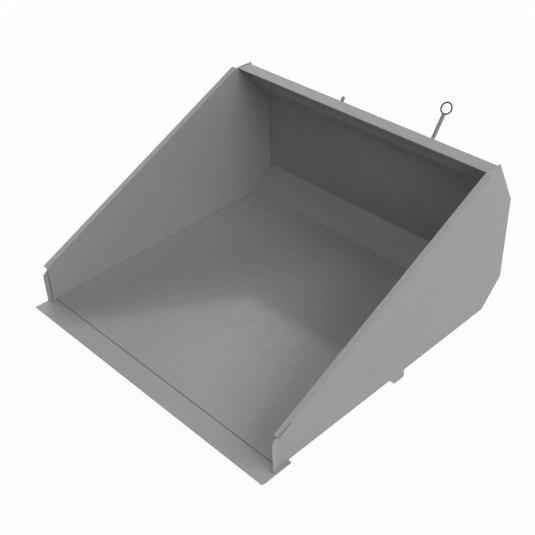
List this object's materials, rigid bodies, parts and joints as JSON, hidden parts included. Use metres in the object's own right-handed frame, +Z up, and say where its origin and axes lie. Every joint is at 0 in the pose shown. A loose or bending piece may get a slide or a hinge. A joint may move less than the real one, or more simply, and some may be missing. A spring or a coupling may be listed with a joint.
{
  "type": "forklift snow bucket",
  "caption": "Self-tipping sheet steel snow bucket on a fork carriage: open scoop with slanted flanged sides, cutting edge, rear release lever with a pull ring and tubular fork pockets.",
  "frame": {"origin": "On the ground at mid width, straight below the tipping axis, on the underside of the front cross tube.", "axes": "+X to the bucket's right seen from behind it, +Y from the cutting edge back to the fork carriage, +Z up."},
  "size_m": [1.552, 1.6915, 0.9416],
  "materials": {
    "grey_paint": "satin neutral grey paint",
    "zinc_steel": "dull zinc plated steel",
    "dark_steel": "dark oiled steel wire",
    "rubber": "matt black rubber"
  },
  "bodies": {
    "carrier": {"pocket_left": "grey_paint", "pocket_right": "grey_paint", "front_cross_tube": "grey_paint", "rear_cross_tube": "grey_paint", "rest_pads": "rubber", "pivot_brackets": "grey_paint", "upright_left": "grey_paint", "upright_right": "grey_paint", "portal_tie": "grey_paint", "foot_gussets": "grey_paint", "shaft_bearings": "grey_paint", "clamp_nuts": "zinc_steel", "pivot_pins": "zinc_steel", "split_pins": "zinc_steel"},
    "bucket": {"shell": "grey_paint", "side_plate_left": "grey_paint", "side_plate_right": "grey_paint", "edge_strip_left": "grey_paint", "edge_strip_right": "grey_paint", "cutting_edge": "grey_paint", "underside_beam": "grey_paint", "pivot_ears": "grey_paint", "ear_bushes": "zinc_steel", "catch_plates": "grey_paint", "catch_bars": "grey_paint"},
    "latch": {"latch_shaft": "grey_paint", "shaft_collars": "grey_paint", "hook_left": "grey_paint", "hook_right": "grey_paint", "latch_weight": "grey_paint", "lever_rod": "grey_paint", "lever_ring": "dark_steel", "horn": "grey_paint"},
    "clamp_left": {"clamp_screw_left": "zinc_steel"},
    "clamp_right": {"clamp_screw_right": "zinc_steel"}
  },
  "joints": [
    {"name": "bucket_tip", "type": "hinge", "parent": "carrier", "child": "bucket", "pos_m": [0, 0, 0.08], "axis": [1, 0, 0], "range_deg": [0, 50]},
    {"name": "latch_turn", "type": "hinge", "parent": "carrier", "child": "latch", "pos_m": [0, 0.7584, 0.766], "axis": [-1, 0, 0], "range_deg": [0, 35]},
    {"name": "clamp_left_travel", "type": "slide", "parent": "carrier", "child": "clamp_left", "axis": [0, 0, -1], "range_m": [0, 0.02]},
    {"name": "clamp_right_travel", "type": "slide", "parent": "carrier", "child": "clamp_right", "axis": [0, 0, -1], "range_m": [0, 0.02]}
  ]
}
